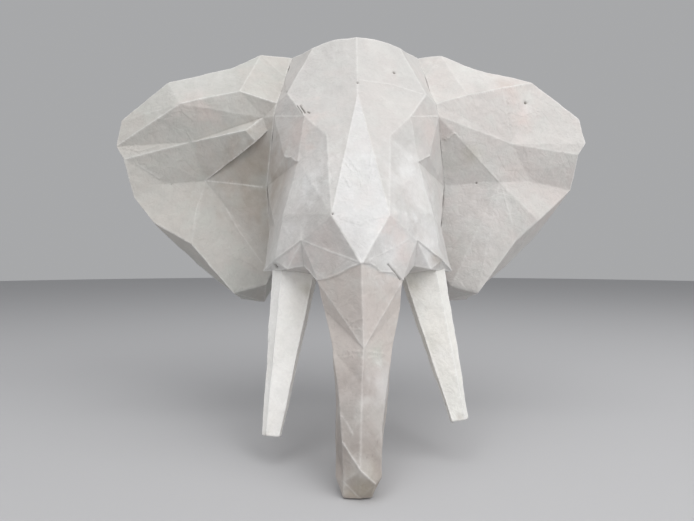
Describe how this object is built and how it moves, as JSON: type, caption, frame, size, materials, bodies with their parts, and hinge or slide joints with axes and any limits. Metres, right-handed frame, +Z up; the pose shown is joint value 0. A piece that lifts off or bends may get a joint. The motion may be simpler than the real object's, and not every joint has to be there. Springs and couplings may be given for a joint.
{
  "type": "wall hung animal head",
  "caption": "Faceted papier-mache elephant head with spread ears, a hanging trunk and tusks, flat behind to hang on a wall as a trophy.",
  "frame": {"origin": "middle of the flat back of the neck, on the wall", "axes": "+Z up, +Y into the wall, so the face looks along -Y and +X is the viewer's right"},
  "size_m": [0.624, 0.338, 0.508],
  "materials": {
    "head_paper": "matt",
    "ear_left_paper": "matt",
    "ear_right_paper": "matt",
    "tusk_paper": "matt"
  },
  "bodies": {
    "root": {"head": "head_paper", "ear_left": "ear_left_paper", "ear_right": "ear_right_paper", "tusk_left": "tusk_paper", "tusk_right": "tusk_paper"}
  },
  "joints": []
}
